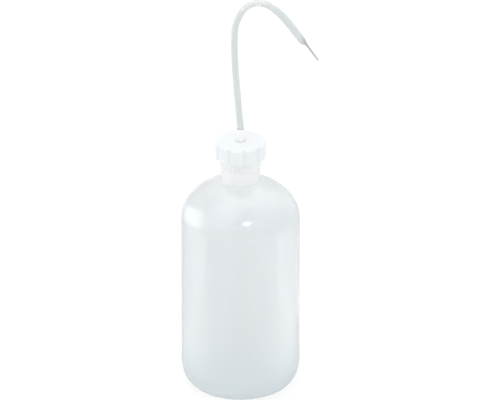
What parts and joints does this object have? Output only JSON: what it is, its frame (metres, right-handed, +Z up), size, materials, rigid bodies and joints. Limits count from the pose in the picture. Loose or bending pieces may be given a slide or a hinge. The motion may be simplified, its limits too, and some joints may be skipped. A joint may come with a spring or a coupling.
{
  "type": "wash bottle",
  "caption": "Narrow-neck plastic wash bottle with a lobed screw cap, a sealed nozzle insert, a dip tube and a bent delivery tube that ends in a fine drawn jet.",
  "frame": {"origin": "centre of the base on the bottle's axis, in the plane it stands on", "axes": "+Z up along the bottle's axis, +X towards the side that the delivery tube's jet points to at rest, +Y away from the viewer when the jet is on the right"},
  "size_m": [0.0861, 0.075, 0.2661],
  "materials": {
    "bottle_plastic": "natural soft polyethylene, milky and translucent, satin",
    "seal_plastic": "soft white gasket sheet, matt",
    "insert_plastic": "natural polyethylene, milky, satin",
    "tube_plastic": "natural polyethylene tube, translucent, smooth",
    "cap_plastic": "white moulded plastic, fine satin"
  },
  "bodies": {
    "bottle": {"bottle": "bottle_plastic"},
    "seal": {"sealing_ring": "seal_plastic"},
    "insert": {"nozzle_insert": "insert_plastic", "dip_tube": "tube_plastic"},
    "cap": {"screw_cap": "cap_plastic"},
    "spout": {"spray_tube": "tube_plastic"}
  },
  "joints": [
    {"name": "closure_lift", "type": "slide", "parent": "bottle", "child": "seal", "axis": [0, 0, 1], "range_m": [0, 0.19]},
    {"name": "insert_rise", "type": "slide", "parent": "seal", "child": "insert", "axis": [0, 0, 1], "range_m": [0, 0.0038]},
    {"name": "cap_turn", "type": "hinge", "parent": "insert", "child": "cap", "pos_m": [0, 0, 0.163], "axis": [0, 0, 1], "range_deg": [0, 450]},
    {"name": "spout_swivel", "type": "hinge", "parent": "insert", "child": "spout", "pos_m": [0, 0, 0.172], "axis": [0, 0, 1], "continuous": true}
  ],
  "couplings": [
    {"joint": "insert_rise", "follows": "cap_turn", "m_per_rad": 0.00047746}
  ]
}
